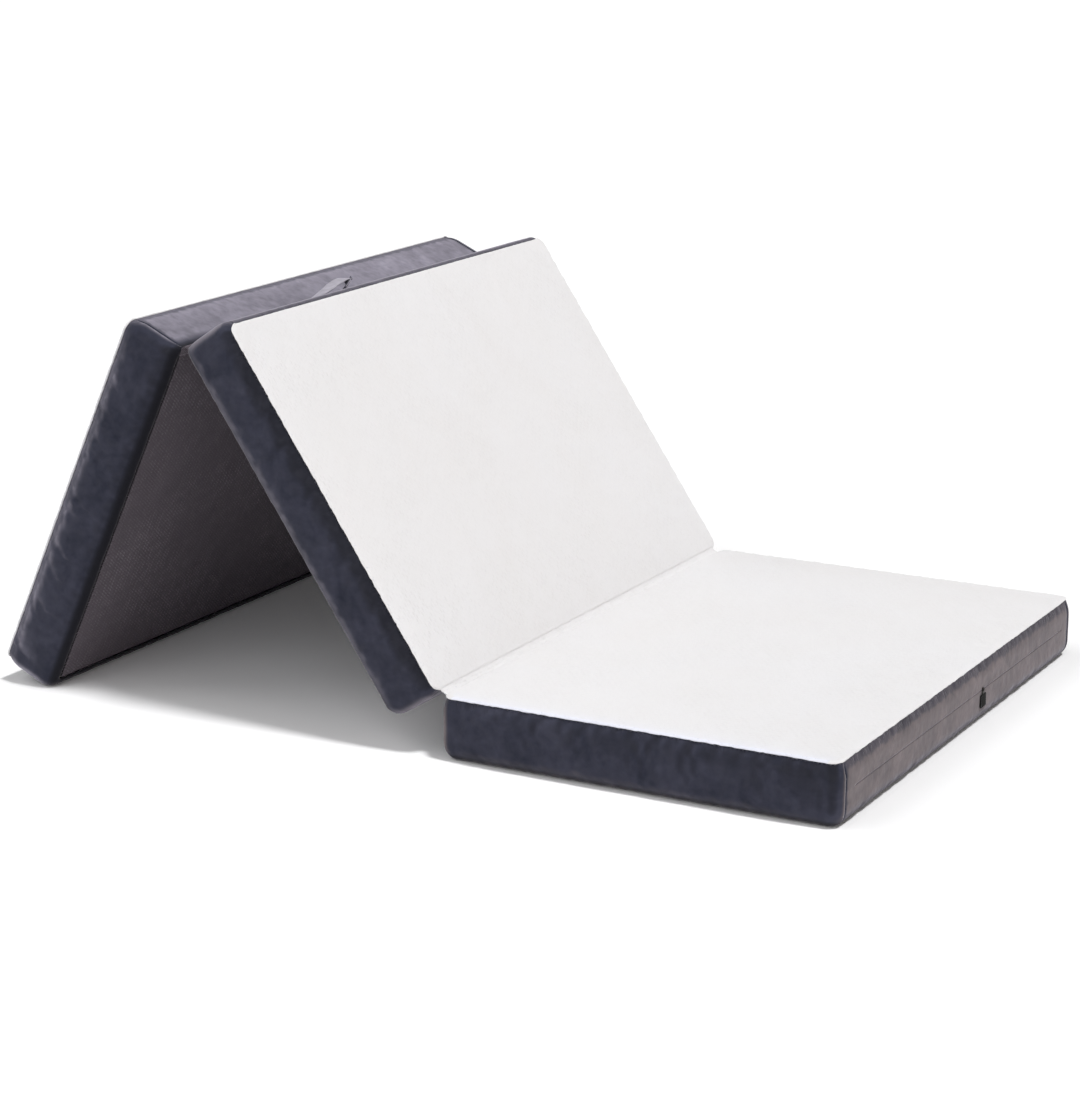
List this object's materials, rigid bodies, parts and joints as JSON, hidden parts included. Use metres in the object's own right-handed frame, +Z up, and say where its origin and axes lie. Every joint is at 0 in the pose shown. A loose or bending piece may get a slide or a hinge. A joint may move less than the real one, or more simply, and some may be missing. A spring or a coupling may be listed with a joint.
{
  "type": "folding mattress",
  "caption": "Foam mattress in hinged panels with a white knit top, dark velvet sides and a carry handle, standing part folded as a tent.",
  "frame": {"origin": "middle of the whole part's box, on the floor it stands on", "axes": "+X along the mattress towards the free end of the panel that lies flat, +Y across the mattress to the side away from the picture's viewer, +Z up"},
  "size_m": [1.436, 0.968, 0.6289],
  "materials": {
    "knit_top": "matte",
    "velvet": "satin",
    "bottom_cloth": "matte",
    "support_foam": "matte",
    "comfort_foam": "matte",
    "zip_tape": "matte",
    "zip_metal": "satin"
  },
  "bodies": {
    "panel_a": {"cover_top_a": "knit_top", "cover_border_a": "velvet", "cover_bottom_a": "bottom_cloth", "foam_comfort_a": "comfort_foam", "foam_support_a": "support_foam", "zip_tape_upper_a": "zip_tape", "zip_tape_lower_a": "zip_tape", "hinge_cloth_ab": "knit_top"},
    "panel_b": {"cover_top_b": "knit_top", "cover_border_b": "velvet", "cover_bottom_b": "bottom_cloth", "foam_comfort_b": "comfort_foam", "foam_support_b": "support_foam", "zip_tape_upper_b": "zip_tape", "zip_tape_lower_b": "zip_tape", "hinge_cloth_bc": "bottom_cloth", "carry_handle": "velvet"},
    "panel_c": {"cover_top_c": "knit_top", "cover_border_c": "velvet", "cover_bottom_c": "bottom_cloth", "foam_comfort_c": "comfort_foam", "foam_support_c": "support_foam", "zip_tape_upper_c": "zip_tape", "zip_tape_lower_c": "zip_tape"},
    "slider_a": {"zip_slider_a": "zip_metal"},
    "slider_b": {"zip_slider_b": "zip_metal"},
    "slider_c": {"zip_slider_c": "zip_metal"},
    "pull_a": {"zip_pull_a": "zip_metal"},
    "pull_b": {"zip_pull_b": "zip_metal"},
    "pull_c": {"zip_pull_c": "zip_metal"}
  },
  "joints": [
    {"name": "fold_ab", "type": "hinge", "parent": "panel_a", "child": "panel_b", "pos_m": [0.08077, -0.0015, 0.1008], "axis": [0, 1, 0], "range_deg": [-55.8, 124.2], "deforming": ["hinge_cloth_ab"]},
    {"name": "fold_bc", "type": "hinge", "parent": "panel_b", "child": "panel_c", "pos_m": [-0.36349, -0.0015, 0.56664], "axis": [0, 1, 0], "range_deg": [-58.92, 121.07], "deforming": ["hinge_cloth_bc", "carry_handle"]},
    {"name": "zip_a", "type": "slide", "parent": "panel_a", "child": "slider_a", "axis": [0, 1, 0], "range_m": [-0.492, 0.357]},
    {"name": "zip_b", "type": "slide", "parent": "panel_b", "child": "slider_b", "axis": [-0.5621, 0, 0.8271], "range_m": [0, 0.517]},
    {"name": "zip_c", "type": "slide", "parent": "panel_c", "child": "slider_c", "axis": [0, 1, 0], "range_m": [0, 0.849]},
    {"name": "pull_a", "type": "hinge", "parent": "slider_a", "child": "pull_a", "pos_m": [0.71497, 0.066, 0.052], "axis": [1, 0, 0], "range_deg": [-90, 90]},
    {"name": "pull_b", "type": "hinge", "parent": "slider_b", "child": "pull_b", "pos_m": [0.00736, 0.481, 0.122], "axis": [0, 1, 0], "range_deg": [-90, 90]},
    {"name": "pull_c", "type": "hinge", "parent": "slider_c", "child": "pull_c", "pos_m": [-0.68031, -0.426, 0.01431], "axis": [-0.4182, 0, -0.9084], "range_deg": [-90, 90]}
  ]
}
